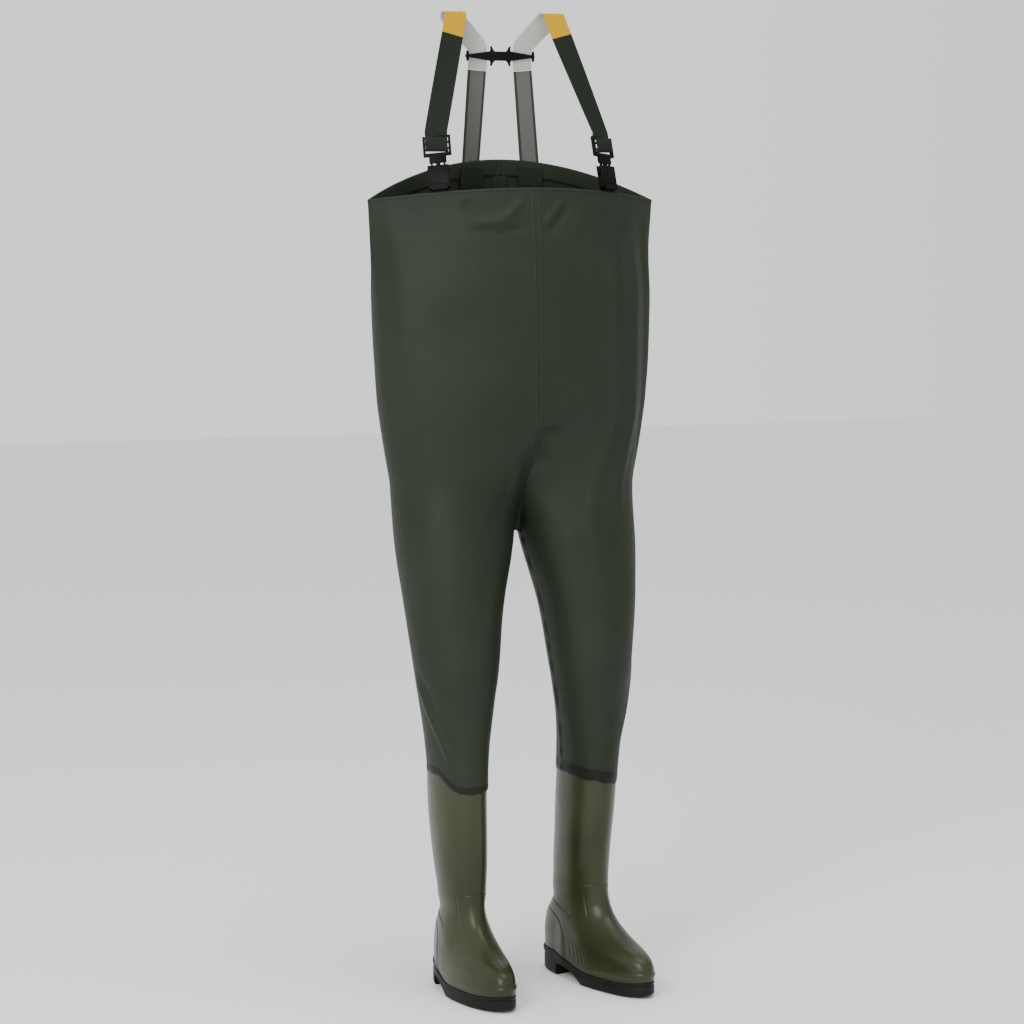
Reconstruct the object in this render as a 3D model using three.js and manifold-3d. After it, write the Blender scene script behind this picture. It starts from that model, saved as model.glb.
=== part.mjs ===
// Chest waders: a welded fabric bib with two legs, moulded boots, elastic braces,
// side-release buckles and a cross connector. Millimetres, +Z up, front facing -Y,
// +X to the wearer's left. Heights below are measured from the soles; the finished
// group is lowered so that the origin lies between the two brace folds, where the
// shoulders or a hanging bar carry the waders.
import * as THREE from "three";
import { mergeVertices } from "three/addons/utils/BufferGeometryUtils.js";
import Module from "manifold-3d";

const wasm = await Module();
wasm.setup();

// ---------------------------------------------------------------- driving sizes
const GAP = 0.3; // between neighbouring solids
const CLOTH = 1.5; // coated fabric, thickened to a workable solid

const SIDE_HEIGHT = 1350; // top edge of the bib at the sides
const FRONT_RISE = 20; // the braces lift the front and back of that edge
const BACK_RISE = 69;
const CROTCH_HEIGHT = 868;
const HIP_TOP = 850; // bend sections of the leg
const HIP_FOOT = 690;
const KNEE_TOP = 585;
const KNEE_FOOT = 425;
const BOOT_TOP = 378;

const FOLD = { x: 90, y: 45, z: 1668 }; // where each brace turns over the shoulder
const FOLD_RADIUS = 6;
const FOLD_FLAT = 14; // level stretch that rests on the shoulder
const WEB_WIDTH = 38;
const BACK_WIDTH = 34; // elastic webbing of the back braces
const WEB_THICK = 1.6;

const BUCKLE_X = 153;
const BUCKLE_HEIGHT = 1369; // closed end of the female half
const BUCKLE_LENGTH = 92; // from there to the top bar of the male half

const SPLAY = { left: THREE.MathUtils.degToRad(15), right: THREE.MathUtils.degToRad(1) };
const ANKLE = { x: 110, y: -46 };
const BOOT_WALL = 3.5;

// ---------------------------------------------------------------- materials
const material = (color, roughness, metalness = 0) =>
  new THREE.MeshStandardMaterial({ color, roughness, metalness });
const fabricGreen = material(0x3f4a3a, 0.6);
const weldGreen = material(0x2b3327, 0.45);
const bootGreen = material(0x4c5237, 0.35);
const soleBlack = material(0x2c2c28, 0.7);
const liningGrey = material(0x77776e, 0.95);
const plasticBlack = material(0x161713, 0.4);
const webGreen = material(0x303a2e, 0.85);
const webYellow = material(0xd8b021, 0.8);
const webGrey = material(0x80817d, 0.85);

// ---------------------------------------------------------------- shared helpers
const { lerp, clamp, smoothstep } = THREE.MathUtils;
const power = (value, exponent) => Math.sign(value) * Math.abs(value) ** exponent;

// Reads a table of [height, a, b, ...] rows, joined by a smooth curve through them.
function profile(rows) {
  return (z) => {
    const last = rows.length - 1;
    if (z <= rows[0][0]) return rows[0].slice(1);
    if (z >= rows[last][0]) return rows[last].slice(1);
    const i = rows.findIndex((row) => row[0] > z) - 1;
    const [from, to] = [rows[i], rows[i + 1]];
    const share = (z - from[0]) / (to[0] - from[0]);
    return from.slice(1).map((value, k) => {
      const before = rows[Math.max(i - 1, 0)];
      const after = rows[Math.min(i + 2, last)];
      const span = to[0] - from[0];
      const slopeIn = ((to[k + 1] - before[k + 1]) / (to[0] - before[0])) * span;
      const slopeOut = ((after[k + 1] - value) / (after[0] - from[0])) * span;
      const [s2, s3] = [share ** 2, share ** 3];
      return (
        (2 * s3 - 3 * s2 + 1) * value +
        (s3 - 2 * s2 + share) * slopeIn +
        (3 * s2 - 2 * s3) * to[k + 1] +
        (s3 - s2) * slopeOut
      );
    });
  };
}

// A closed solid through a stack of rings that run anticlockwise seen from above. Each
// end is closed by strips that run straight across the ring.
function loft(rings) {
  const count = rings[0].length;
  const points = rings.flat();
  const faces = [];
  for (let i = 0; i < rings.length - 1; i++)
    for (let j = 0; j < count; j++) {
      const [a, b] = [i * count + j, i * count + ((j + 1) % count)];
      faces.push(a, b, b + count, a, b + count, a + count);
    }
  const cap = (start, up) => {
    const face = (a, b, c) => faces.push(start + a, start + (up ? b : c), start + (up ? c : b));
    for (let j = 0; j < count / 2; j++) {
      if (j > 0) face(j, count - j - 1, count - j);
      if (j < count / 2 - 1) face(j, j + 1, count - j - 1);
    }
  };
  cap(0, false);
  cap((rings.length - 1) * count, true);
  const geometry = new THREE.BufferGeometry().setFromPoints(points);
  geometry.setIndex(faces);
  return geometry;
}

function toSolid(geometry) {
  const bare = geometry.clone();
  bare.deleteAttribute("normal");
  bare.deleteAttribute("uv");
  const merged = mergeVertices(bare, 1e-4);
  return new wasm.Manifold(
    new wasm.Mesh({
      numProp: 3,
      vertProperties: Float32Array.from(merged.attributes.position.array),
      triVerts: Uint32Array.from(merged.index.array),
    }),
  );
}

function toGeometry(solid) {
  const mesh = solid.getMesh();
  const geometry = new THREE.BufferGeometry();
  geometry.setAttribute("position", new THREE.BufferAttribute(mesh.vertProperties, 3));
  geometry.setIndex(new THREE.BufferAttribute(mesh.triVerts, 1));
  return geometry;
}

const placed = (geometry, x, y, z) => toSolid(geometry.clone().translate(x, y, z));
const block = (w, d, h, x, y, z) => placed(new THREE.BoxGeometry(w, d, h), x, y, z);
const rod = (radius, length, x, y, z) =>
  placed(new THREE.CylinderGeometry(radius, radius, length, 16).rotateZ(Math.PI / 2), x, y, z);
const joined = (solids) => solids.reduce((whole, piece) => whole.add(piece));

function piece(name, shape, look) {
  const geometry = shape.isBufferGeometry ? shape : toGeometry(shape);
  geometry.computeVertexNormals();
  const mesh = new THREE.Mesh(geometry, look);
  mesh.name = name;
  return mesh;
}

// ---------------------------------------------------------------- the fabric suit
// Half width, depth in front of the widest line and depth behind it.
const torsoSection = profile([
  [CROTCH_HEIGHT, 220, 118, 108],
  [938, 234, 130, 122],
  [1042, 245, 132, 126],
  [1179, 252, 129, 118],
  [1280, 256, 121, 90],
  [SIDE_HEIGHT, 260, 112, 66],
  [SIDE_HEIGHT + BACK_RISE, 262, 106, 60],
]);

// Centre across, centre front to back, half width, half depth of the left leg.
const legSection = profile([
  [131, 109.5, -49, 34, 68],
  [202, 111, -44, 42, 72],
  [309, 117, -46, 46, 80],
  [BOOT_TOP, 120, -52, 47, 80],
  [430, 122, -54, 53, 76],
  [485, 123.5, -56, 61, 74],
  [555, 123, -55, 71, 80],
  [660, 122, -40, 84, 92],
  [765, 114, -19, 100, 103],
  [HIP_TOP, 108.5, -5, 107, 112],
  [CROTCH_HEIGHT + 40, 110, -5, 112, 116],
]);

const TORSO_SIDES = 64;
const LEG_SIDES = 32;

function topHeight(angle) {
  const rise = Math.cos(angle) < 0 ? BACK_RISE : FRONT_RISE;
  return SIDE_HEIGHT + rise * Math.cos(angle) ** 2;
}

// Round at the waist, and drawn out to a corner at each side of the top edge.
const pointedness = (z) => smoothstep(z, 1180, SIDE_HEIGHT);
const acrossPower = (z) => lerp(1, 1.25, pointedness(z));
const depthPower = (z) => lerp(1, 1.82, pointedness(z));

// The angle starts at the centre front and runs round by the wearer's left.
function torsoPoint(angle, z, inset) {
  const [halfWidth, front, back] = torsoSection(z);
  const depth = Math.cos(angle) > 0 ? front : back;
  return new THREE.Vector3(
    (halfWidth - inset) * power(Math.sin(angle), acrossPower(z)),
    -(depth - inset) * power(Math.cos(angle), depthPower(z)),
    z,
  );
}

// How far back the front or back panel's face lies at a place on it.
function panelFace(x, z, inset, atBack) {
  const [halfWidth] = torsoSection(z);
  const sine = (Math.abs(x) / (halfWidth - inset)) ** (1 / acrossPower(z));
  const angle = atBack ? Math.PI - Math.asin(sine) : Math.asin(sine);
  return torsoPoint(angle, z, inset).y;
}

// share 0 is the crotch, share 1 the shaped top edge; over carries a ring past it.
function torsoRing(share, inset, over = 0) {
  return Array.from({ length: TORSO_SIDES }, (_, i) => {
    const angle = (i / TORSO_SIDES) * 2 * Math.PI;
    const z = lerp(CROTCH_HEIGHT, topHeight(angle), share) + over;
    return torsoPoint(angle, z, inset);
  });
}

function legRing(z, inset) {
  const [x, y, halfWidth, halfDepth] = legSection(z);
  return Array.from({ length: LEG_SIDES }, (_, i) => {
    const angle = (i / LEG_SIDES) * 2 * Math.PI;
    return new THREE.Vector3(
      x + (halfWidth - inset) * Math.sin(angle),
      y - (halfDepth - inset) * Math.cos(angle),
      z,
    );
  });
}

// A straight-walled length of the left leg between two heights.
function legTube(foot, top, steps, inset = 0, wall = CLOTH) {
  const heights = Array.from({ length: steps + 1 }, (_, i) => lerp(foot, top, i / steps));
  const outer = toSolid(loft(heights.map((z) => legRing(z, inset))));
  const bore = [foot - 2, ...heights, top + 2].map((z, i, all) => {
    const ring = legRing(clamp(z, foot, top), inset + wall);
    const shift = i === 0 || i === all.length - 1 ? z - clamp(z, foot, top) : 0;
    return ring.map((p) => p.add(new THREE.Vector3(0, 0, shift)));
  });
  return outer.subtract(toSolid(loft(bore)));
}

const BIB_LEVELS = [0, 0.12, 0.3, 0.5, 0.66, 0.78, 0.88, 0.94, 1];

// Both bib panels come from one shell: the torso joined to the roots of the legs.
function bibShell() {
  const legRoots = (inset, foot, top) => {
    const left = toSolid(loft([foot, HIP_TOP + 15, top].map((z) => legRing(z, inset))));
    return left.add(left.mirror([1, 0, 0]));
  };
  const outer = toSolid(loft(BIB_LEVELS.map((s) => torsoRing(s, 0))));
  const hollow = [
    ...BIB_LEVELS.slice(0, -1).map((s) => torsoRing(s, CLOTH, s === 0 ? CLOTH : 0)),
    torsoRing(1, CLOTH, 4),
  ];
  const inner = toSolid(loft(hollow));
  const outerLegs = legRoots(0, HIP_TOP + GAP, CROTCH_HEIGHT + 30);
  const innerLegs = legRoots(CLOTH, HIP_TOP - 5, CROTCH_HEIGHT + 31);
  return outer.add(outerLegs).subtract(inner.add(innerLegs));
}

function bibPanel() {
  const room = 1000;
  const leftHalf = block(room, room, 2 * room, room / 2 + GAP / 2, 0, room);
  return bibShell().intersect(leftHalf);
}

// A strip bonded over the centre seam, on the inner face of the front or back.
const SEAM_SEAT = CLOTH + 3 * GAP;
function seamTape(atBack) {
  const width = 14;
  const thick = 0.8;
  const angle = atBack ? Math.PI : 0;
  const top = topHeight(angle);
  const under = (top - HEM_DEPTH - 4 - CROTCH_HEIGHT) / (top - CROTCH_HEIGHT);
  const shares = [...BIB_LEVELS.slice(1, -1).filter((s) => s < under), under];
  const rings = shares.map((share) => {
    const z = lerp(CROTCH_HEIGHT, top, share);
    const depths = [SEAM_SEAT, SEAM_SEAT + thick].map((inset) => torsoPoint(angle, z, inset).y);
    const [near, far] = depths.sort((one, other) => one - other);
    return [
      new THREE.Vector3(-width / 2, near, z),
      new THREE.Vector3(width / 2, near, z),
      new THREE.Vector3(width / 2, far, z),
      new THREE.Vector3(-width / 2, far, z),
    ];
  });
  return loft(rings);
}

// The folded hem: a second layer round the inside of the top edge.
const HEM_DEPTH = 28;
const HEM_THICK = 1.2;
function chestHem() {
  const seat = CLOTH + 2 * GAP;
  const ring = (drop, inset) =>
    Array.from({ length: TORSO_SIDES }, (_, i) => {
      const angle = (i / TORSO_SIDES) * 2 * Math.PI;
      return torsoPoint(angle, topHeight(angle) - drop, inset);
    });
  const outer = toSolid(loft([ring(HEM_DEPTH, seat), ring(1, seat)]));
  const lifted = (points, dz) => points.map((p) => p.add(new THREE.Vector3(0, 0, dz)));
  const inner = toSolid(
    loft([lifted(ring(HEM_DEPTH, seat + HEM_THICK), -2), lifted(ring(1, seat + HEM_THICK), 2)]),
  );
  return outer.subtract(inner);
}

// ---------------------------------------------------------------- the boots
// In the boot's own frame the ankle stands over the origin and the toe points to -Y.
// Height above the sole line, reach forward, reach back, half width.
const bootSection = profile([
  [0, 201, 86, 49],
  [12, 206, 89, 52],
  [25, 204, 90, 52],
  [38, 195, 90, 51],
  [49, 177, 89, 49],
  [58, 152, 87, 47],
  [69, 127, 84, 44.5],
  [85, 99, 77, 40.5],
  [106, 78, 68, 36],
  [130, 69, 66, 35.5],
  [155, 68, 69, 38],
  [190, 70, 74, 41.5],
  [240, 75, 79, 44],
  [290, 80, 80, 45.5],
  [356, 85.4, 73.4, 46.4],
]);
const SOLE_LINE = 22; // top of the outsole under the ball of the foot
const HEEL_LIFT = 18;
const SHAFT_LEAN = 10; // the shaft stands outwards by this much at its top
const RIM = BOOT_TOP - SOLE_LINE;
const BOOT_LEVELS = [0, 12, 25, 38, 49, 58, 69, 85, 106, 130, 155, 195, 245, 300, RIM - GAP];

const heelLift = (y) => HEEL_LIFT * smoothstep(y, -75, 35);
const toeSpring = (y) => 6 * Math.max(0, (-142 - y) / 65) ** 2;
const lift = (y) => heelLift(y) + toeSpring(y);
const shaftShare = (h) => smoothstep(h, 40, 120);

// grow widens the outline; h is the height above the sole line, dz moves the ring.
function bootRing(h, grow, dz = 0, heelGrow = grow) {
  const [forward, back, halfWidth] = bootSection(h);
  const shaft = shaftShare(h);
  return Array.from({ length: LEG_SIDES }, (_, i) => {
    const angle = (i / LEG_SIDES) * 2 * Math.PI;
    const [c, s] = [Math.cos(angle), Math.sin(angle)];
    const reach = c > 0 ? forward + grow : back + heelGrow;
    const y = -reach * power(c, lerp(0.92, 1, shaft));
    const ball = 1 - 0.05 * (c - 0.45) ** 2;
    const waist = c < 0.45 ? 0.24 * smoothstep(0.45 - c, 0, 0.8) : 0;
    const across = (halfWidth * lerp(ball - waist, 1, shaft) + grow) * power(s, lerp(0.94, 1, shaft));
    const swing = lerp(-9 * Math.max(c, 0) ** 2 + 3 * (1 - c * c), 0, shaft);
    const lean = SHAFT_LEAN * smoothstep(h, 110, RIM);
    const z = SOLE_LINE + h + lift(y) * (1 - smoothstep(h, 20, 130)) + dz;
    return new THREE.Vector3(across + swing + lean, y, z);
  });
}

// The foot turns out while the shaft stays square to the leg.
function turnedOut(ring, h, splay) {
  const axis = new THREE.Vector3(0, 0, 1);
  return ring.map((p) => p.applyAxisAngle(axis, splay * (1 - smoothstep(h, 90, 240))));
}

function bootUpper(splay) {
  const outer = toSolid(loft(BOOT_LEVELS.map((h) => turnedOut(bootRing(h, 0), h, splay))));
  const floor = 2;
  const over = 3;
  const droop = (h) => -2.5 * smoothstep(h, 12, 48) * (1 - shaftShare(h)); // vamp thickness
  const inner = [
    turnedOut(bootRing(2, -BOOT_WALL - 2, floor), 0, splay),
    ...BOOT_LEVELS.slice(1, -1).map((h) => turnedOut(bootRing(h, -BOOT_WALL, droop(h)), h, splay)),
    turnedOut(bootRing(RIM - GAP, -BOOT_WALL, over), RIM, splay),
  ];
  return outer.subtract(toSolid(loft(inner)));
}

function bootInsole(splay) {
  const rings = [1.8, 5.4].map((dz) => bootRing(3, -BOOT_WALL - 4, dz));
  return loft(rings.map((ring) => turnedOut(ring, 0, splay)));
}

// Heel block and lugged tread under a welt that stands proud of the upper.
function bootOutsole(splay) {
  const welt = 4.5;
  const kickLedge = 8; // the heel reaches back so the other foot can push the boot off
  const tread = (share, grow, heelGrow) =>
    bootRing(0, grow, -GAP, heelGrow).map(
      (p) => new THREE.Vector3(p.x, p.y, lerp(toeSpring(p.y), p.z, share)),
    );
  const whole = toSolid(
    loft([
      tread(0, 1),
      tread(0.25, welt),
      tread(0.72, welt),
      tread(0.8, welt, kickLedge),
      tread(1, welt, kickLedge),
    ]),
  );
  const upper = toSolid(loft(BOOT_LEVELS.slice(0, 6).map((h) => bootRing(h, 0, -GAP))));
  // Shape x is the boot's forward direction and shape y is up.
  const arch = new THREE.Shape();
  arch.moveTo(-22, -1).lineTo(-20, 22).lineTo(4, 22);
  arch.quadraticCurveTo(30, 20, 52, 9);
  arch.quadraticCurveTo(62, 4, 66, -1);
  const span = 140;
  const cutter = new THREE.ExtrudeGeometry(arch, {
    depth: span,
    bevelEnabled: false,
    curveSegments: 5,
  });
  cutter.rotateX(Math.PI / 2).rotateZ(-Math.PI / 2).translate(span / 2, 0, 0);
  const grooveWidth = 6;
  const grooveDepth = 5;
  const grooves = [-181, -159, -137, -115, -93, 45, 66].map((y) =>
    block(span, grooveWidth, 2 * grooveDepth, 0, y, toeSpring(y)),
  );
  const cut = whole.subtract(joined([toSolid(cutter), upper, ...grooves]));
  return cut.rotate([0, 0, THREE.MathUtils.radToDeg(splay)]);
}

// The dark weld band that laps the boot's rim and the end of the fabric leg.
function weldBand() {
  const lap = 16;
  const thick = 1.2;
  return legTube(BOOT_TOP - lap, BOOT_TOP + lap, 2, -thick - 4 * GAP, thick);
}

// ---------------------------------------------------------------- braces
// Each point of the path has the webbing's half width and how far it faces outwards.
// The cross-sections stand square to the path.
function ribbon(path, halfWidths, turns, thick = WEB_THICK) {
  const rings = path.map((point, i) => {
    const before = path[Math.max(i - 1, 0)];
    const after = path[Math.min(i + 1, path.length - 1)];
    const along = after.clone().sub(before).normalize();
    const across = new THREE.Vector3(Math.cos(turns[i]), Math.sin(turns[i]), 0);
    across.addScaledVector(along, -across.dot(along)).normalize();
    const face = across.clone().cross(along).multiplyScalar(thick / 2);
    const edge = across.multiplyScalar(halfWidths[i]);
    return [
      point.clone().sub(edge).add(face),
      point.clone().add(edge).add(face),
      point.clone().add(edge).sub(face),
      point.clone().sub(edge).sub(face),
    ];
  });
  const solid = toSolid(loft(rings));
  return solid.volume() < 0 ? toSolid(loft(rings.map((r) => r.reverse()))) : solid;
}

// The buckle stands just behind the hem, square to the bib's face there.
const BUCKLE_SEAT = CLOTH + HEM_THICK + 5 * GAP + 1.6;
const buckleFoot = new THREE.Vector3(
  BUCKLE_X,
  panelFace(BUCKLE_X, SIDE_HEIGHT, BUCKLE_SEAT, false),
  BUCKLE_HEIGHT,
);
const buckleTurn = Math.atan(
  (panelFace(BUCKLE_X + 10, SIDE_HEIGHT, 0, false) -
    panelFace(BUCKLE_X - 10, SIDE_HEIGHT, 0, false)) /
    20,
);
const foldFront = new THREE.Vector3(FOLD.x, FOLD.y - FOLD_FLAT / 2 - FOLD_RADIUS, FOLD.z - FOLD_RADIUS);
// The buckle hangs almost upright; the webbing bends a little to meet it.
const buckleAxis = new THREE.Vector3(-0.035, 0.3, 0.95).normalize();
const frontStrapFoot = buckleFoot.clone().addScaledVector(buckleAxis, BUCKLE_LENGTH + GAP);
const SHOULDER_LENGTH = 36; // the shoulder piece reaches this far down the front
const STRAP_LEAD = 8; // straight webbing above the buckle
const strapBend = frontStrapFoot.clone().addScaledVector(buckleAxis, STRAP_LEAD);
const strapAxis = foldFront.clone().sub(strapBend).normalize();
const frontStrapTop = foldFront.clone().addScaledVector(strapAxis, -SHOULDER_LENGTH);

const backPlaneY = FOLD.y + FOLD_FLAT / 2 + FOLD_RADIUS;
const CONNECTOR_HEIGHT = 1596;
const connectorPoint = new THREE.Vector3(40, backPlaneY + 1, CONNECTOR_HEIGHT);
const JOIN_HEIGHT = 1572; // where the shoulder piece is sewn to the elastic back piece
const BACK_LAP = 50; // of the back brace below the bib's top edge
const backEdge = new THREE.Vector3(54, 0, topHeight(Math.PI) - 4);
backEdge.y = panelFace(backEdge.x, backEdge.z, -WEB_THICK / 2 - 3 * GAP, true);
const backTurn = Math.atan(
  (panelFace(backEdge.x + 18, backEdge.z, 0, true) -
    panelFace(backEdge.x - 18, backEdge.z, 0, true)) /
    36,
);
const backShare = (z) => (CONNECTOR_HEIGHT - z) / (CONNECTOR_HEIGHT - backEdge.z);
const half = WEB_WIDTH / 2;
const backHalf = BACK_WIDTH / 2;

function frontStrap() {
  const shares = [0, 0.33, 0.67, 1];
  const path = [frontStrapFoot, ...shares.map((s) => strapBend.clone().lerp(frontStrapTop, s))];
  const turns = [buckleTurn, ...shares.map((s) => buckleTurn * (1 - s))];
  return ribbon(path, path.map(() => half), turns);
}

function shoulderStrap() {
  const start = frontStrapTop.clone().addScaledVector(strapAxis, GAP);
  const steps = [0, 1 / 3, 2 / 3, 1];
  const quarter = (centreY, from) =>
    steps.map((step) => {
      const angle = from + (step * Math.PI) / 2;
      return new THREE.Vector3(
        FOLD.x,
        centreY - FOLD_RADIUS * Math.cos(angle),
        FOLD.z - FOLD_RADIUS + FOLD_RADIUS * Math.sin(angle) + WEB_THICK / 2,
      );
    });
  const over = [
    ...quarter(FOLD.y - FOLD_FLAT / 2, 0),
    ...quarter(FOLD.y + FOLD_FLAT / 2, Math.PI / 2),
  ];
  const aboveConnector = connectorPoint.clone().add(new THREE.Vector3(1.5, 0, 17));
  const join = connectorPoint.clone().lerp(backEdge, backShare(JOIN_HEIGHT));
  const path = [start, ...over, aboveConnector, connectorPoint, join];
  const halves = [half, ...over.map(() => half), backHalf, backHalf, backHalf];
  return ribbon(path, halves, path.map(() => 0));
}

function backStrap() {
  const start = connectorPoint.clone().lerp(backEdge, backShare(JOIN_HEIGHT - 2 * GAP));
  const shares = [0, 0.5, 1];
  const lap = shares.map((share) => {
    const z = backEdge.z - share * BACK_LAP;
    return new THREE.Vector3(backEdge.x, panelFace(backEdge.x, z, -WEB_THICK / 2 - 3 * GAP, true), z);
  });
  const path = [start, ...lap];
  return ribbon(path, path.map(() => backHalf), [0, backTurn, backTurn, backTurn]);
}

// The patch bonded inside the back panel, behind the end of the brace.
function bracePatch() {
  const inset = CLOTH + HEM_THICK + 4 * GAP;
  const thick = 1.2;
  const rings = [6, 34, 62].map((drop) => {
    const z = topHeight(Math.PI) - 8 - drop;
    const [inner, outer] = [backEdge.x - 21, backEdge.x + 21];
    const [innerY, outerY] = [inner, outer].map((x) => panelFace(x, z, inset, true));
    return [
      new THREE.Vector3(inner, innerY - thick, z),
      new THREE.Vector3(outer, outerY - thick, z),
      new THREE.Vector3(outer, outerY, z),
      new THREE.Vector3(inner, innerY, z),
    ];
  });
  return loft(rings.reverse());
}

// ---------------------------------------------------------------- buckles
// In the buckle's own frame the tongue slides along +Z and the face looks to -Y.
const FEMALE = { width: 36, depth: 10, height: 40 };
const MOUTH = { width: 30, depth: 6.4 };
const SLOT_HEIGHT = 5.6;

function femaleBuckle() {
  const { width, depth, height } = FEMALE;
  const body = block(width, depth, height, 0, 0, height / 2);
  const cavity = block(MOUTH.width, MOUTH.depth, height, 0, 0, height / 2 + 11);
  const sideWindow = block(width + 10, MOUTH.depth, 18, 0, 0, height - 9 + 0.01);
  const webSlot = block(29, depth + 2, 3.2, 0, 0, SLOT_HEIGHT);
  return body.subtract(joined([cavity, sideWindow, webSlot]));
}

// Web loop of the female half: it passes the slot and is sewn inside the hem.
function buckleTab() {
  const width = 27;
  const tailThick = 2.4;
  const tailLength = 40;
  const ply = 1.4;
  const reach = FEMALE.depth / 2 + 0.5 + ply / 2;
  const side = (y) => block(width, ply, SLOT_HEIGHT + 3.2, 0, y, (SLOT_HEIGHT - 1.6) / 2);
  const across = (z) => block(width, 2 * reach + ply, 1.4, 0, 0, z);
  const loop = joined([side(-reach), side(reach), across(SLOT_HEIGHT), across(-2)]);
  const reachX = (width / 2) * Math.cos(buckleTurn);
  const rings = [-tailLength, -tailLength / 2, -2.1].map((drop) => {
    const z = BUCKLE_HEIGHT + drop;
    const corner = (side, inset) => {
      const x = BUCKLE_X + side * reachX;
      return new THREE.Vector3(x, panelFace(x, Math.min(z, SIDE_HEIGHT), inset, false), z);
    };
    const [outside, inside] = [BUCKLE_SEAT - tailThick / 2, BUCKLE_SEAT + tailThick / 2];
    return [corner(-1, outside), corner(1, outside), corner(1, inside), corner(-1, inside)];
  });
  const seat = onBuckleAxis(new THREE.Object3D());
  seat.updateMatrix();
  return loop.transform(seat.matrix.elements).add(toSolid(loft(rings)));
}

// Tongue with its centre guide and the ladder frame for the brace.
const MALE_FOOT = 14;
const PRONG_ROOT = 45;
const RAIL_X = WEB_WIDTH / 2 + 2 * GAP + 2;
const FRAME_BARS = [69, 80, BUCKLE_LENGTH - 2];
function maleBuckle() {
  const guide = block(7, 4.4, 34, 0, 0, MALE_FOOT + 17);
  const bridge = block(29, 5, 14, 0, 0, 52);
  const railHeight = BUCKLE_LENGTH - 58;
  const rail = (x) => block(4, 6, railHeight, x, 0, 58 + railHeight / 2);
  const foot = block(2 * RAIL_X + 4, 6, 5, 0, 0, 59.5);
  const bars = FRAME_BARS.map((z) => rod(2, 2 * RAIL_X, 0, 0, z));
  return joined([guide, bridge, rail(-RAIL_X), rail(RAIL_X), foot, ...bars]);
}

// One springy side arm of the tongue, with the round ear that the thumb presses.
function buckleProng(side) {
  const arm = block(3, 4.4, 26, side * 10.6, 0, PRONG_ROOT - GAP - 13);
  const ear = new THREE.Shape();
  ear.moveTo(0, 0);
  ear.quadraticCurveTo(8.2, 2, 8.4, 9).quadraticCurveTo(8, 14, 0, 19);
  ear.lineTo(0, 0);
  const bump = new THREE.ExtrudeGeometry(ear, {
    depth: 4.4,
    bevelEnabled: false,
    curveSegments: 5,
  });
  bump.rotateX(Math.PI / 2).translate(0, 2.2, 0);
  const solid = toSolid(bump).translate([11.4, 0, 23]);
  return arm.add(side > 0 ? solid : solid.mirror([1, 0, 0]));
}

// The brace's turn through the ladder frame: over the middle bar, behind the others.
function adjusterTurn() {
  const [low, middle, top] = FRAME_BARS;
  const path = [
    [3.1, top + 2],
    [3.1, top - 1],
    [-3, middle + 3.5],
    [-3, middle - 3.5],
    [3.1, low + 2],
    [3.1, low - 6],
  ].map(([y, z]) => new THREE.Vector3(0, y, z));
  return ribbon(path, path.map(() => half - 0.2), path.map(() => 0), 1.2);
}

// Stands a buckle piece on its seat, leaning with the brace and facing outwards.
function onBuckleAxis(mesh) {
  const upright = new THREE.Vector3(0, 0, 1);
  const lean = new THREE.Quaternion().setFromUnitVectors(upright, buckleAxis);
  const turn = new THREE.Quaternion().setFromAxisAngle(upright, buckleTurn);
  mesh.quaternion.multiplyQuaternions(lean, turn);
  mesh.position.copy(buckleFoot);
  return mesh;
}

// ---------------------------------------------------------------- cross connector
// Plate on the wearer's side of the webbing, guard bar outside it, and posts beside it.
function crossConnector() {
  const outline = new THREE.Shape();
  outline.moveTo(0, -8).lineTo(10, -8);
  outline.quadraticCurveTo(13, -9, 16, -17).lineTo(19, -16);
  outline.quadraticCurveTo(17, -10, 20, -8).lineTo(57, -2.5);
  outline.lineTo(59, -9).lineTo(62, -9).lineTo(63, 0).lineTo(62, 9).lineTo(59, 9);
  outline.lineTo(57, 2.5).lineTo(20, 8);
  outline.quadraticCurveTo(17, 10, 19, 16).lineTo(16, 17);
  outline.quadraticCurveTo(13, 9, 10, 8).lineTo(0, 8);
  const thick = 2.4;
  const wing = new THREE.ExtrudeGeometry(outline, {
    depth: thick,
    bevelEnabled: false,
    curveSegments: 3,
  });
  wing.rotateX(Math.PI / 2);
  const web = 3.4; // room for the webbing between plate and bar
  const bar = block(49, 2.2, 4, 38, web + 1.1, 0);
  const post = (x) => block(3, web + 2.4, 4, x, web / 2, 0);
  const side = joined([toSolid(wing), bar, post(15), post(61)]);
  return side.add(side.mirror([1, 0, 0]));
}

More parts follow.
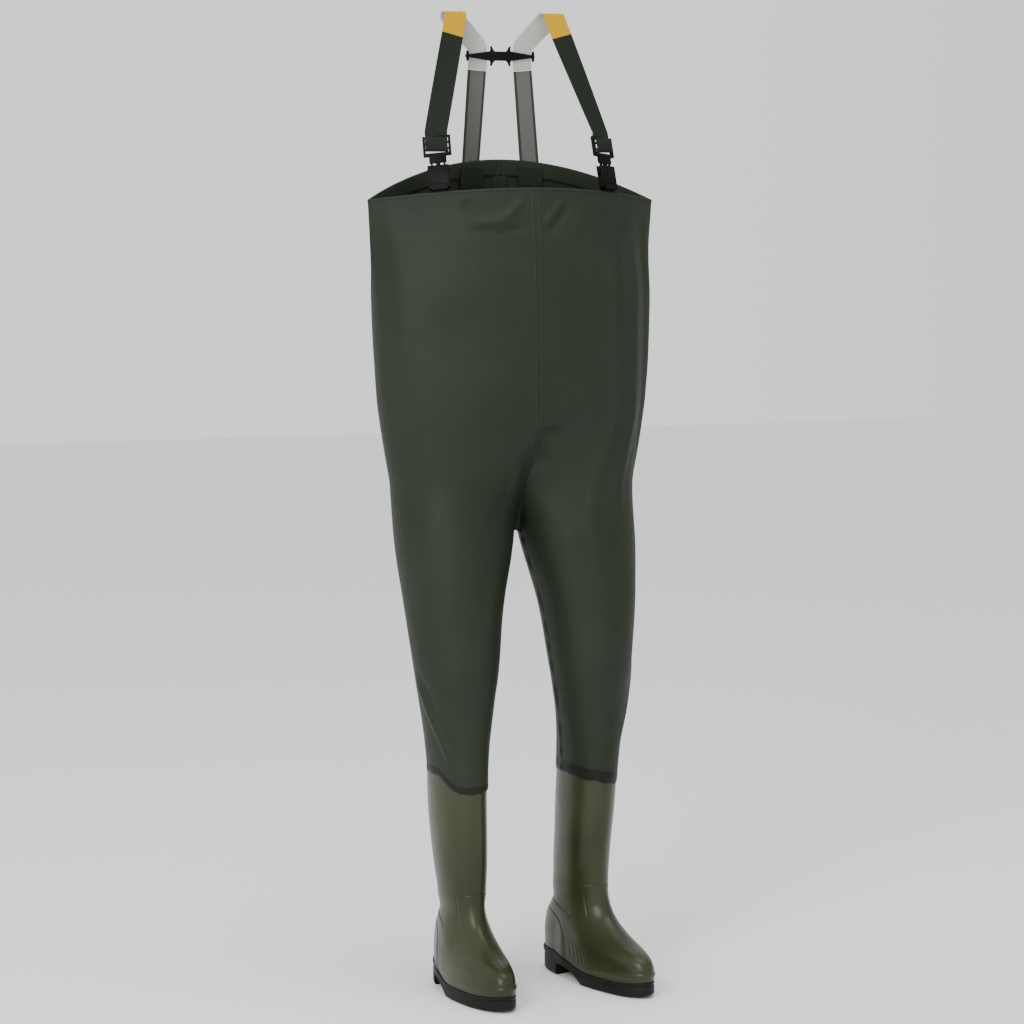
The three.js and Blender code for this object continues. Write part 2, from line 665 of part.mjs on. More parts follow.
// ---------------------------------------------------------------- assembly
// Everything that the wearer has one of on each side, built for the left.
function oneSide(side) {
  const splay = SPLAY[side];
  const group = new THREE.Group();
  const add = (name, shape, look) => {
    const mesh = piece(side + "_" + name, shape, look);
    group.add(mesh);
    return mesh;
  };
  add("bib_panel", bibPanel(), fabricGreen);
  add("hip_section", legTube(HIP_FOOT + GAP, HIP_TOP, 4), fabricGreen);
  add("thigh_section", legTube(KNEE_TOP + GAP, HIP_FOOT, 2), fabricGreen);
  add("knee_section", legTube(KNEE_FOOT + GAP, KNEE_TOP, 4), fabricGreen);
  add("shin_section", legTube(BOOT_TOP + GAP, KNEE_FOOT, 1), fabricGreen);
  add("boot_weld_band", weldBand(), weldGreen);

  const boot = new THREE.Group();
  boot.position.set(ANKLE.x, ANKLE.y, 0);
  const bootPieces = [
    ["boot_upper", bootUpper(splay), bootGreen],
    ["boot_insole", bootInsole(splay), liningGrey],
    ["boot_outsole", bootOutsole(splay), soleBlack],
  ];
  for (const [name, shape, look] of bootPieces)
    boot.add(piece(side + "_" + name, shape, look));
  group.add(boot);

  add("front_brace", frontStrap(), webGreen);
  add("shoulder_brace", shoulderStrap(), webYellow);
  add("back_brace", backStrap(), webGrey);
  add("brace_patch", bracePatch(), weldGreen);

  onBuckleAxis(add("buckle_female", femaleBuckle(), plasticBlack));
  add("buckle_tab", buckleTab(), webGreen);
  onBuckleAxis(add("buckle_male", maleBuckle(), plasticBlack));
  onBuckleAxis(add("buckle_prong_outer", buckleProng(1), plasticBlack));
  onBuckleAxis(add("buckle_prong_inner", buckleProng(-1), plasticBlack));
  onBuckleAxis(add("adjuster_turn", adjusterTurn(), webGreen));
  return group;
}

const left = oneSide("left");
const right = oneSide("right");
right.scale.x = -1; // the right side mirrors the left

const connector = piece("cross_connector", crossConnector(), plasticBlack);
const plateSeat = WEB_THICK / 2 + 3 * GAP; // the plate's clearance from the webbing's middle
connector.position.set(0, connectorPoint.y - plateSeat, CONNECTOR_HEIGHT);

const standing = new THREE.Group();
standing.add(left, right, connector);
standing.add(piece("front_seam_tape", seamTape(false), weldGreen));
standing.add(piece("back_seam_tape", seamTape(true), weldGreen));
standing.add(piece("chest_hem", chestHem(), fabricGreen));
standing.position.set(0, -FOLD.y, -FOLD.z);

const waders = new THREE.Group();
waders.add(standing);
export default waders;
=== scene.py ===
import math

import bmesh
import bpy
import numpy as np
from mathutils import Matrix, Vector, noise


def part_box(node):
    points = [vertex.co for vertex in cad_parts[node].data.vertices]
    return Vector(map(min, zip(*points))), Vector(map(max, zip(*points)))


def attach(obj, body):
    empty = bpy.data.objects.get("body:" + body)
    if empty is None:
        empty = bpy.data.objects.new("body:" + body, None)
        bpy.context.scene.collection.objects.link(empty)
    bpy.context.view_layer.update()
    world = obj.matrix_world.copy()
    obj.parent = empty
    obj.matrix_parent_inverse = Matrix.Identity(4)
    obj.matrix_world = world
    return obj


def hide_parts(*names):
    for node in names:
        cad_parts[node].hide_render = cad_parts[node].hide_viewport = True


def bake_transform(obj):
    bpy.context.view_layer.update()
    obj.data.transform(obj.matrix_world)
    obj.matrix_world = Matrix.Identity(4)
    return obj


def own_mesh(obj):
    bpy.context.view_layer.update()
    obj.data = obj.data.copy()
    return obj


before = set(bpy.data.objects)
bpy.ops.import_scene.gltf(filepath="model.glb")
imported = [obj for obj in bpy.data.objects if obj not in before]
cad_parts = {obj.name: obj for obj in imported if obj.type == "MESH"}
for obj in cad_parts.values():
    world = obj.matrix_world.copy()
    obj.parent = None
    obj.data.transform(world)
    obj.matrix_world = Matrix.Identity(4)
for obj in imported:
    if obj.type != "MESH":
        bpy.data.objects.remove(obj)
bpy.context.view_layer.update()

# ---------------------------------------------------------------- studio
# A pale seamless floor, a large soft key light from the front left, a weaker fill
# from the right and a top light for the shoulders of the garment.
SOLE_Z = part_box("left_boot_outsole")[0][2]
BODY_Y = -0.045  # the widest line of the trunk, seen from above
MIDDLE = (0, BODY_Y, SOLE_Z / 2)


def soft_light(name, place, size, power):
    data = bpy.data.lights.new(name, "AREA")
    data.shape = "RECTANGLE"
    data.size, data.size_y = size
    data.energy = power
    lamp = bpy.data.objects.new(name, data)
    bpy.context.collection.objects.link(lamp)
    lamp.location = place
    lamp.rotation_euler = (Vector(MIDDLE) - lamp.location).to_track_quat("-Z", "Y").to_euler()


bpy.ops.object.select_all(action="DESELECT")
bpy.ops.mesh.primitive_plane_add(size=24, location=(0, 0, SOLE_Z - 0.0005))
floor = bpy.context.object
floor.name = "studio_floor"
floor_paint = bpy.data.materials.new("pale_floor")
floor_paint.use_nodes = True
floor_shader = floor_paint.node_tree.nodes["Principled BSDF"]
floor_shader.inputs["Base Color"].default_value = (0.93, 0.93, 0.925, 1)
floor_shader.inputs["Roughness"].default_value = 0.7
floor.data.materials.append(floor_paint)

world = bpy.data.worlds.new("studio_air")
bpy.context.scene.world = world
world.use_nodes = True
air = world.node_tree
air.nodes["Background"].inputs["Color"].default_value = (0.93, 0.94, 0.95, 1)
# The air is darker to the right, as beside a black panel, so the trunk reads as round.
direction = air.nodes.new("ShaderNodeTexCoord")
split = air.nodes.new("ShaderNodeSeparateXYZ")
panel = air.nodes.new("ShaderNodeMapRange")
panel.inputs["From Min"].default_value = 0.42
panel.inputs["From Max"].default_value = 0.8
panel.inputs["To Min"].default_value = 1.25
panel.inputs["To Max"].default_value = 0.62
air.links.new(direction.outputs["Generated"], split.inputs[0])
air.links.new(split.outputs["X"], panel.inputs["Value"])
air.links.new(panel.outputs["Result"], air.nodes["Background"].inputs["Strength"])

soft_light("key", (-3.0, -2.9, 1.2), (1.4, 2.8), 120)
soft_light("fill", (3.4, -2.4, 0.2), (1.4, 2.4), 7)
soft_light("top", (0.3, -0.6, 2.4), (2.0, 2.0), 45)

camera_data = bpy.data.cameras.new("camera")
camera_data.lens = 109
camera = bpy.data.objects.new("camera", camera_data)
bpy.context.collection.objects.link(camera)
bpy.context.scene.camera = camera
CAMERA_TURN = math.radians(-21)
CAMERA_TILT = math.radians(5.747)
CAMERA_DISTANCE = 5.33
CAMERA_HEIGHT = 1.35
camera.location = (
    math.sin(CAMERA_TURN) * CAMERA_DISTANCE,
    BODY_Y - math.cos(CAMERA_TURN) * CAMERA_DISTANCE,
    SOLE_Z + CAMERA_HEIGHT,
)
camera.rotation_euler = (math.pi / 2 - CAMERA_TILT, 0, CAMERA_TURN)

# ---------------------------------------------------------------- bib and legs
# Two mirrored panels of PVC-coated cloth, each a half trunk that runs on into a leg.
# They are welded together along the centre line, which dips to the crotch between
# the legs. Sizes are in millimetres above the soles until they are placed.
MM = 0.001


def smooth(value, low, high):
    share = np.clip((value - low) / (high - low), 0, 1)
    return share * share * (3 - 2 * share)


def mix(a, b, share):
    return a + (b - a) * share


def profile(rows):
    """A smooth curve through rows of height, a, b, ... that gives a, b, ... at a height."""
    rows = np.array(rows, float)
    z, v = rows[:, 0], rows[:, 1:]
    slope = np.zeros_like(v)
    slope[1:-1] = (v[2:] - v[:-2]) / (z[2:] - z[:-2])[:, None]
    slope[0] = (v[1] - v[0]) / (z[1] - z[0])
    slope[-1] = (v[-1] - v[-2]) / (z[-1] - z[-2])

    def at(height):
        height = np.clip(np.asarray(height, float), z[0], z[-1])
        i = np.clip(np.searchsorted(z, height, side="right") - 1, 0, len(z) - 2)
        span = z[i + 1] - z[i]
        s = ((height - z[i]) / span)[..., None]
        span = span[..., None]
        out = (2 * s**3 - 3 * s**2 + 1) * v[i] + (s**3 - 2 * s**2 + s) * span * slope[i]
        out += (3 * s**2 - 2 * s**3) * v[i + 1] + (s**3 - s**2) * span * slope[i + 1]
        return np.moveaxis(out, -1, 0)

    return at


SIDE_TOP = 1350
FRONT_RISE = 20
BACK_RISE = 69
FORK_TOP = 976  # where the panels begin to dip apart at the front and back
CROTCH = 784
THIGH_JOIN = 632  # the two lengths of a leg meet here, between its bends
HEM = 352
GIRTH = 620  # how much cloth goes round one panel

torso = profile(
    [
        [868, 220, 118, 108],
        [938, 234, 130, 122],
        [1042, 245, 132, 126],
        [1179, 252, 129, 118],
        [1280, 256, 121, 90],
        [SIDE_TOP, 260, 112, 66],
        [SIDE_TOP + BACK_RISE, 262, 106, 60],
    ]
)
leg = profile(
    [
        [309, 117, -46, 46, 80],
        [378, 120, -52, 48, 81],
        [430, 122, -54, 53, 77],
        [485, 123.5, -56, 61, 75],
        [555, 123, -55, 71, 81],
        [660, 122, -40, 84, 92],
        [765, 114, -19, 101, 103],
        [850, 108.5, -5, 107, 112],
        [908, 110, -5, 111, 115],
    ]
)


def top_height(around):
    facing = np.cos(np.pi * around)
    return SIDE_TOP + np.where(facing < 0, BACK_RISE, FRONT_RISE) * facing**2


def close_centre(points, around, height):
    """The two panels meet on the centre line, down to the crotch."""
    at_seam = ((around == 0) | (around == 1)) & (height >= CROTCH)
    points[..., 0] = np.where(at_seam, 0, points[..., 0])


def suit_surface(around, height):
    """Points of the left panel. around runs 0 front centre, 0.5 side, 1 back centre."""
    width, front, back = torso(height)
    pointed = smooth(height, 1180, SIDE_TOP)
    across = np.sin(np.pi * around)
    curve = (1 - np.abs(across) ** mix(2, 1.6, pointed)) ** mix(0.5, 0.91, pointed)
    depth = np.where(around < 0.5, -front, back)
    trunk = np.stack([width * across, depth * curve, height], -1)

    centre_x, centre_y, half_x, half_y = leg(height)
    turn = 2 * np.pi * around
    tube_x = centre_x - half_x * np.cos(turn)
    tube_y = centre_y - half_y * np.sin(turn)
    tube = np.stack([tube_x, tube_y, height], -1)
    rise = np.clip((height - CROTCH) / (FORK_TOP - CROTCH), 0, 1)
    by_seam = np.exp(-((np.minimum(around, 1 - around) / 0.09) ** 2))
    forked = mix(1 - smooth(height, CROTCH - 30, FORK_TOP + 40), 1 - rise**0.85, by_seam)
    forked = forked[..., None]
    points = mix(trunk, tube, forked)
    close_centre(points, around, height)
    return points


def surface_normals(points):
    down = np.gradient(points, axis=0)
    along = np.gradient(points, axis=1)
    normal = np.cross(along, down)
    return -normal / np.maximum(np.linalg.norm(normal, axis=-1, keepdims=True), 1e-9)


def stroke(around, height, path, width, lift):
    """A soft ridge (lift > 0) or valley along a path of (around, height) points."""
    best = np.full(around.shape, 1e9)
    place = np.zeros(around.shape)
    lengths = [0]
    for a, b in zip(path, path[1:]):
        lengths.append(lengths[-1] + math.hypot((b[0] - a[0]) * GIRTH, b[1] - a[1]))
    for i, (a, b) in enumerate(zip(path, path[1:])):
        dx, dz = (b[0] - a[0]) * GIRTH, b[1] - a[1]
        px, pz = (around - a[0]) * GIRTH, height - a[1]
        share = np.clip((px * dx + pz * dz) / (dx * dx + dz * dz), 0, 1)
        away = np.hypot(px - share * dx, pz - share * dz)
        nearer = away < best
        best = np.where(nearer, away, best)
        place = np.where(nearer, lengths[i] + share * math.hypot(dx, dz), place)
    run = place / lengths[-1]
    fade = smooth(run, 0, 0.22) * smooth(1 - run, 0, 0.3)
    return lift * fade * np.exp(-((best / width) ** 2))


# (path, width, lift): folds that hang from the buckles, cross folds by the centre
# seam, pulls at the fork and creases above the boots.
SHARED_FOLDS = [
    ([(0.78, 1400), (0.76, 1200), (0.74, 1000), (0.73, 840)], 20, 4),
    ([(0.69, 1370), (0.68, 1180), (0.66, 960)], 22, -4.5),
    ([(0.9, 1405), (0.89, 1250), (0.86, 1050)], 16, 2.6),
    ([(0.06, 955), (0.14, 905), (0.24, 870)], 18, 2.4),
    ([(0.05, 905), (0.13, 840), (0.22, 790)], 14, -2.6),
    ([(0.94, 950), (0.84, 880), (0.74, 830)], 16, 3),
    ([(0.95, 900), (0.86, 820), (0.78, 770)], 13, -3),
]
LEFT_FOLDS = [
    ([(0.185, 1372), (0.19, 1250), (0.197, 1100), (0.205, 950), (0.23, 800), (0.26, 640)], 9, 3.4),
    ([(0.225, 1372), (0.228, 1250), (0.235, 1080), (0.25, 900), (0.29, 760)], 14, -4.5),
    ([(0.275, 1365), (0.28, 1230), (0.29, 1050), (0.31, 880), (0.34, 700)], 13, 3.6),
    ([(0.35, 1355), (0.355, 1180), (0.37, 1000), (0.41, 840)], 22, -5),
    ([(0.012, 1308), (0.03, 1318), (0.068, 1354)], 6, 4.6),
    ([(0.022, 1290), (0.05, 1316), (0.09, 1352)], 8, -4.6),
    ([(0.02, 1272), (0.07, 1286), (0.13, 1330)], 11, 2.2),
    ([(0.10, 1366), (0.105, 1340), (0.12, 1300)], 9, 2.0),
    ([(0.045, 975), (0.035, 930), (0.045, 880)], 17, -9),
    ([(0.56, 640), (0.48, 560), (0.40, 470), (0.36, 400)], 14, 3),
    ([(0.18, 560), (0.26, 480), (0.38, 430)], 12, -2),
    ([(0.72, 560), (0.8, 500), (0.9, 470)], 12, -3),
    ([(0.62, 520), (0.74, 470), (0.86, 450)], 11, 3),
]
RIGHT_FOLDS = [
    ([(0.33, 1368), (0.34, 1250), (0.35, 1080), (0.36, 900)], 26, 1.6),
    ([(0.40, 1345), (0.40, 1200), (0.41, 1000), (0.43, 840)], 24, -2.2),
    ([(0.15, 1303), (0.08, 1300), (0.008, 1304)], 6, -4.2),
    ([(0.14, 1316), (0.08, 1312), (0.03, 1322)], 9, 3.4),
    ([(0.09, 1308), (0.05, 1330), (0.018, 1358)], 6, 4.2),
    ([(0.155, 1348), (0.13, 1334), (0.09, 1316)], 9, -3.6),
    ([(0.05, 960), (0.06, 900), (0.08, 850)], 20, 4.5),
    ([(0.53, 560), (0.47, 500), (0.39, 430), (0.34, 372)], 10, 3.4),
    ([(0.49, 560), (0.42, 490), (0.35, 430), (0.30, 380)], 12, -3),
    ([(0.70, 560), (0.79, 500), (0.9, 460)], 12, -3),
    ([(0.16, 700), (0.2, 600), (0.24, 500)], 18, 1.8),
]
SEAM_HALF = 0.0066  # half the weld's width, as a share of the way round
WELD_RIDGE = 0.9
SIDES = {"left": 1, "right": -1}
FOLDS = {"left": SHARED_FOLDS + LEFT_FOLDS, "right": SHARED_FOLDS + RIGHT_FOLDS}
SEEDS = {"left": 3.0, "right": 41.0}
# The cloth's own waves: how far they lift it, how many go round, how tall each is.
WAVES = [(1.9, 4.2, 190, 0), (0.8, 13, 85, 5), (0.22, 40, 26, 9)]


def relief(around, height, side_name):
    """How far the cloth stands out from the plain surface."""
    lift = np.zeros(around.shape)
    for path, width, amount in FOLDS[side_name]:
        lift += stroke(around, height, path, width, amount)
    wrap = np.minimum(around, 1 - around)
    seed = SEEDS[side_name]
    ripple = []
    for a, z in zip(around.ravel(), height.ravel()):
        spots = [(rise, (a * turns + seed, z / tall, seed + skip)) for rise, turns, tall, skip in WAVES]
        ripple.append(sum(rise * noise.noise(Vector(spot)) for rise, spot in spots))
    quiet = smooth(wrap, 0.0, 0.05) * smooth(height, HEM, HEM + 45)
    quiet *= smooth(top_height(around) - height, 0, 60) * 0.8 + 0.2
    lift += np.array(ripple).reshape(around.shape) * quiet
    ridge = np.exp(-(((wrap - SEAM_HALF) / 0.0012) ** 2)) * WELD_RIDGE
    pucker = 1 + 0.5 * np.sin(height / 7.0 + 2 * np.sin(height / 31.0))
    lift += ridge * pucker
    return lift


def columns():
    near = [0, 0.0022, 0.0044, 0.0056, 0.0066, 0.0076, 0.009, 0.012]
    middle = list(np.linspace(0.016, 0.984, 150))
    return np.array(near + middle + [1 - v for v in reversed(near)])


def choose(piece):
    bpy.ops.object.select_all(action="DESELECT")
    bpy.context.view_layer.objects.active = piece
    piece.select_set(True)


def apply_modifiers(piece):
    choose(piece)
    for modifier in list(piece.modifiers):
        bpy.ops.object.modifier_apply(modifier=modifier.name)


def new_piece(name, mesh):
    piece = bpy.data.objects.new(name, mesh)
    bpy.context.collection.objects.link(piece)
    return piece


def lay_uv(mesh, spots):
    """Gives each corner of a mesh its point's place on the flat cloth."""
    layer = mesh.uv_layers.new(name="cloth")
    corners = np.empty(len(mesh.loops), dtype=np.int32)
    mesh.loops.foreach_get("vertex_index", corners)
    layer.data.foreach_set("uv", spots[corners].ravel())


def dress(piece, material, kind, body, *stands_for):
    """The finish of a piece, and what it rides on and replaces; kind, what it is made of, is not used."""
    piece.data.materials.clear()
    piece.data.materials.append(material)
    if stands_for:
        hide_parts(*stands_for)
    if body:
        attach(piece, body)


def add_grid(name, points, wrap_rows, flipped, uv, wall=0):
    """A mesh through a grid of points, closed round the rows in wrap_rows."""
    rows, cols = points.shape[:2]
    mesh = bpy.data.meshes.new(name)
    vertices = points.reshape(-1, 3)
    faces = []
    for r in range(rows - 1):
        for c in range(cols - 1):
            a = r * cols + c
            quad = (a, a + 1, a + cols + 1, a + cols)
            faces.append(quad if flipped else quad[::-1])
    mesh.from_pydata(vertices.tolist(), [], faces)
    lay_uv(mesh, uv.reshape(-1, 2))
    piece = new_piece(name, mesh)
    built = bmesh.new()
    built.from_mesh(mesh)
    built.verts.ensure_lookup_table()
    pairs = {built.verts[r * cols + cols - 1]: built.verts[r * cols] for r in wrap_rows}
    bmesh.ops.weld_verts(built, targetmap=pairs)
    built.to_mesh(mesh)
    built.free()
    mesh.shade_smooth()
    if wall:
        thick = piece.modifiers.new("wall", "SOLIDIFY")
        thick.thickness = wall
        thick.offset = -1
        apply_modifiers(piece)
    return piece


def placed(points, side):
    out = points * MM
    out[..., 0] *= side
    out[..., 1] += BODY_Y
    out[..., 2] += SOLE_Z
    return out


def shader(name, color, roughness):
    material = bpy.data.materials.new(name)
    material.use_nodes = True
    nodes, links = material.node_tree.nodes, material.node_tree.links
    principled = nodes["Principled BSDF"]
    principled.inputs["Base Color"].default_value = (*color, 1)
    principled.inputs["Roughness"].default_value = roughness
    return material, nodes, links, principled


def node(nodes, kind, **values):
    """A shader node with its settings and input values given by name."""
    made = nodes.new(kind)
    for key, value in values.items():
        if hasattr(made, key):
            setattr(made, key, value)
        else:
            made.inputs[key.replace("_", " ").title()].default_value = value
    return made


def mottled(nodes, links, coords, scale, detail, colors):
    """A colour that drifts between two tones over the surface."""
    grain = node(nodes, "ShaderNodeTexNoise", scale=scale, detail=detail)
    links.new(coords, grain.inputs["Vector"])
    ramp = nodes.new("ShaderNodeValToRGB")
    for stop, position, color in zip(ramp.color_ramp.elements, (0.35, 0.65), colors):
        stop.position = position
        stop.color = (*color, 1)
    links.new(grain.outputs["Fac"], ramp.inputs["Fac"])
    return ramp.outputs["Color"]


def coated_cloth(name, dark, light):
    """PVC over knitted polyester: satin, faintly woven, with a soft mottle."""
    material, nodes, links, principled = shader(name, light, 0.5)
    principled.inputs["Specular IOR Level"].default_value = 0.2
    coords = nodes.new("ShaderNodeTexCoord")
    color = mottled(nodes, links, coords.outputs["Object"], 5.5, 4, (dark, light))
    links.new(color, principled.inputs["Base Color"])
    rough = node(nodes, "ShaderNodeMapRange")
    rough.inputs["To Min"].default_value = 0.5
    rough.inputs["To Max"].default_value = 0.64
    speckle = node(nodes, "ShaderNodeTexNoise", scale=60, detail=3)
    links.new(coords.outputs["Object"], speckle.inputs["Vector"])
    links.new(speckle.outputs["Fac"], rough.inputs["Value"])
    links.new(rough.outputs["Result"], principled.inputs["Roughness"])
    weave = []
    for turn in (0, math.pi / 2):
        spin = node(nodes, "ShaderNodeMapping")
        spin.inputs["Rotation"].default_value = (0, 0, turn)
        links.new(coords.outputs["UV"], spin.inputs["Vector"])
        thread = node(nodes, "ShaderNodeTexWave", scale=190, distortion=0.4, detail=1)
        links.new(spin.outputs["Vector"], thread.inputs["Vector"])
        weave.append(thread.outputs["Fac"])
    both = node(nodes, "ShaderNodeMath", operation="MULTIPLY")
    links.new(weave[0], both.inputs[0])
    links.new(weave[1], both.inputs[1])
    creped = node(nodes, "ShaderNodeTexNoise", scale=34, detail=5)
    links.new(coords.outputs["Object"], creped.inputs["Vector"])
    fine = node(nodes, "ShaderNodeBump", strength=0.10, distance=0.0004)
    links.new(both.outputs[0], fine.inputs["Height"])
    crepe = node(nodes, "ShaderNodeBump", strength=0.16, distance=0.004)
    links.new(creped.outputs["Fac"], crepe.inputs["Height"])
    links.new(fine.outputs["Normal"], crepe.inputs["Normal"])
    links.new(crepe.outputs["Normal"], principled.inputs["Normal"])
    return material


suit_cloth = coated_cloth("green_coated_cloth", (0.0125, 0.0180, 0.0095), (0.0160, 0.0225, 0.0125))
patch_cloth = coated_cloth("inner_patch_cloth", (0.0085, 0.0120, 0.0065), (0.0110, 0.0155, 0.0085))
weld_cloth = coated_cloth("dark_weld_tape", (0.004, 0.0055, 0.003), (0.007, 0.0095, 0.005))


def hem_height(around, side):
    """The cloth is welded on askew: high inside on the left, high outside on the right."""
    if side > 0:
        return HEM + 5 + 10 * np.cos(2 * np.pi * around)
    return HEM + 1 + 28 * smooth(0.5 - np.abs(around - 0.5), 0.32, 0.47)


def bib_heights(around, share):
    """Rows from the top edge to the thigh, level with each other at the fork."""
    fork_share = 0.62
    level = FORK_TOP + 20
    above = mix(top_height(around), level, share / fork_share)
    below = mix(level, THIGH_JOIN, np.clip((share - fork_share) / (1 - fork_share), 0, 1))
    return np.where(share < fork_share, above, below)


def cloth_uv(around, height):
    return np.stack([around * GIRTH * MM, height * MM], -1)


def suit_piece(name, side_name, around, height):
    """One sheet of cloth with its folds, its edges joined where the leg is a closed tube."""
    points = suit_surface(around, height)
    points = points + surface_normals(points) * relief(around, height, side_name)[..., None]
    close_centre(points, around, height)
    closed = [r for r in range(len(height)) if height[r].max() < CROTCH]
    for r in closed:
        points[r, -1] = points[r, 0]
    side = SIDES[side_name]
    return add_grid(name, placed(points, side), closed, side < 0, cloth_uv(around, height))


# Where each bend of the cloth begins and ends, above the soles, and the line it is on.
HIP_BEND = (0.846, 0.69)
HIP_LINE = (0.114, -0.12)
KNEE_BEND = (0.585, 0.425)
KNEE_LINE = (0.1235, -0.124)


def bend_ends(line, bend, side):
    return [(side * line[0], line[1], SOLE_Z + height) for height in bend]


cloth = {}
for side_name, side in SIDES.items():
    around, share = np.meshgrid(columns(), np.linspace(0, 1, 190))
    upper = suit_piece(f"{side_name}_bib_and_thigh", side_name, around, bib_heights(around, share))
    sections = [f"{side_name}_{part}" for part in ("bib_panel", "hip_section", "thigh_section")]
    dress(upper, suit_cloth, "suit_fabric", None, *sections)
    start, end = bend_ends(HIP_LINE, HIP_BEND, side)
    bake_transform(upper)

    around, share = np.meshgrid(columns(), np.linspace(0, 1, 66))
    shin_height = mix(THIGH_JOIN, hem_height(around, side), share)
    lower = suit_piece(f"{side_name}_knee_and_shin", side_name, around, shin_height)
    sections = [f"{side_name}_{part}" for part in ("knee_section", "shin_section")]
    dress(lower, suit_cloth, "suit_fabric", None, *sections)
    start, end = bend_ends(KNEE_LINE, KNEE_BEND, side)
    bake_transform(lower)
    cloth[side_name] = [upper, lower]

# ---------------------------------------------------------------- weld collars
# A dark strip of melted PVC laps the end of each cloth leg and runs out unevenly on
# the boot shaft.
COLLARS = {"left": 19, "right": 11}

COLLAR_WALL = 0.0008
COLLAR_ROWS = 9


def ragged_edge(around, seed):
    """How far a melted edge wanders up and down, the same again after a full turn."""
    wander = []
    for a in around:
        x, y = math.cos(a * 6.283), math.sin(a * 6.283)
        slow = noise.noise(Vector((x * 2.2, y * 2.2, seed)))
        wander.append(slow + 0.4 * noise.noise(Vector((x * 9, y * 9, seed))))
    return np.array(wander)


for side_name, side in SIDES.items():
    around, share = np.meshgrid(np.linspace(0, 1, 181), np.linspace(0, 1, COLLAR_ROWS))
    ragged = ragged_edge(around[0], SEEDS[side_name])
    hem = hem_height(around, side)
    height = mix(hem + COLLARS[side_name] + 1.2 * ragged, hem - 3 + 3.4 * ragged, share)
    points = suit_surface(around, height)
    outward = surface_normals(points)
    stand = relief(around, np.maximum(height, hem), side_name) + 0.35
    stand *= smooth(height, hem - 4, hem + 4)
    stand -= 0.9 * (1 - smooth(np.minimum(share, 1 - share), 0, 0.14))
    points += outward * stand[..., None]
    points[:, -1] = points[:, 0]
    uv = np.stack([around * 0.4, height * MM], -1)
    rows = range(COLLAR_ROWS)
    collar = add_grid(f"{side_name}_weld_collar", placed(points, side), rows, side < 0, uv, COLLAR_WALL)
    dress(collar, weld_cloth, "weld_tape", f"{side_name}_lower_leg", f"{side_name}_boot_weld_band")

# ---------------------------------------------------------------- boots
# Injection-moulded PVC boots. One surface carries the shin panel, the ankle groove,
# the heel counter, the arch ribs, the toe bead and the mould line as real relief.
SOLE_LINE = 22
BOOT_RIM = 356
ANKLE_X, ANKLE_Y = 110, -46
SPLAY = {"left": math.radians(15), "right": math.radians(1)}

boot_form = profile(
    [
        [0, 201, 86, 49],
        [12, 206, 89, 52],
        [25, 204, 90, 52],
        [38, 195, 90, 51],
        [49, 177, 89, 49],
        [58, 152, 87, 47],
        [69, 127, 84, 44.5],
        [85, 99, 77, 40.5],
        [106, 78, 68, 36],
        [130, 69, 66, 35.5],
        [155, 68, 69, 38],
        [190, 70, 74, 41.5],
        [240, 75, 79, 44],
        [290, 80, 80, 45.5],
        [BOOT_RIM, 85.4, 73.4, 46.4],
    ]
)


def power(value, exponent):
    return np.sign(value) * np.abs(value) ** exponent


def toe_spring(y):
    return 6 * np.clip((-142 - y) / 65, 0, None) ** 2


def boot_surface(angle, h, grow=0.0, heel_grow=None):
    """Points of a left boot about its ankle, toe to -Y, before it is turned out."""
    heel_grow = grow if heel_grow is None else heel_grow
    s, c = np.sin(angle), np.cos(angle)
    forward, back, half = boot_form(h)
    shaft = smooth(h, 40, 120)
    reach = np.where(c > 0, forward + grow, back + heel_grow)
    y = -reach * power(c, mix(0.92, 1, shaft))
    ball = 1 - 0.05 * (c - 0.45) ** 2
    waist = np.where(c < 0.45, 0.24 * smooth(0.45 - c, 0, 0.8), 0)
    across = (half * mix(ball - waist, 1, shaft) + grow) * power(s, mix(0.94, 1, shaft))
    swing = mix(-9 * np.clip(c, 0, None) ** 2 + 3 * (1 - c * c), 0, shaft)
    lean = 10 * smooth(h, 110, BOOT_RIM)
    lift = toe_spring(y) + 18 * smooth(y, -75, 35)
    z = SOLE_LINE + h + lift * (1 - smooth(h, 20, 130))
    return np.stack([across + swing + lean, y, z], -1)


def boot_placed(points, h, side_name):
    turn = SPLAY[side_name] * (1 - smooth(h, 90, 240))
    x = points[..., 0] * np.cos(turn) - points[..., 1] * np.sin(turn) + ANKLE_X
    y = points[..., 0] * np.sin(turn) + points[..., 1] * np.cos(turn) + ANKLE_Y
    out = np.stack([x, y, points[..., 2]], -1)
    return placed(out, SIDES[side_name])


def groove(away, width, depth):
    return -depth * np.exp(-((away / width) ** 2))


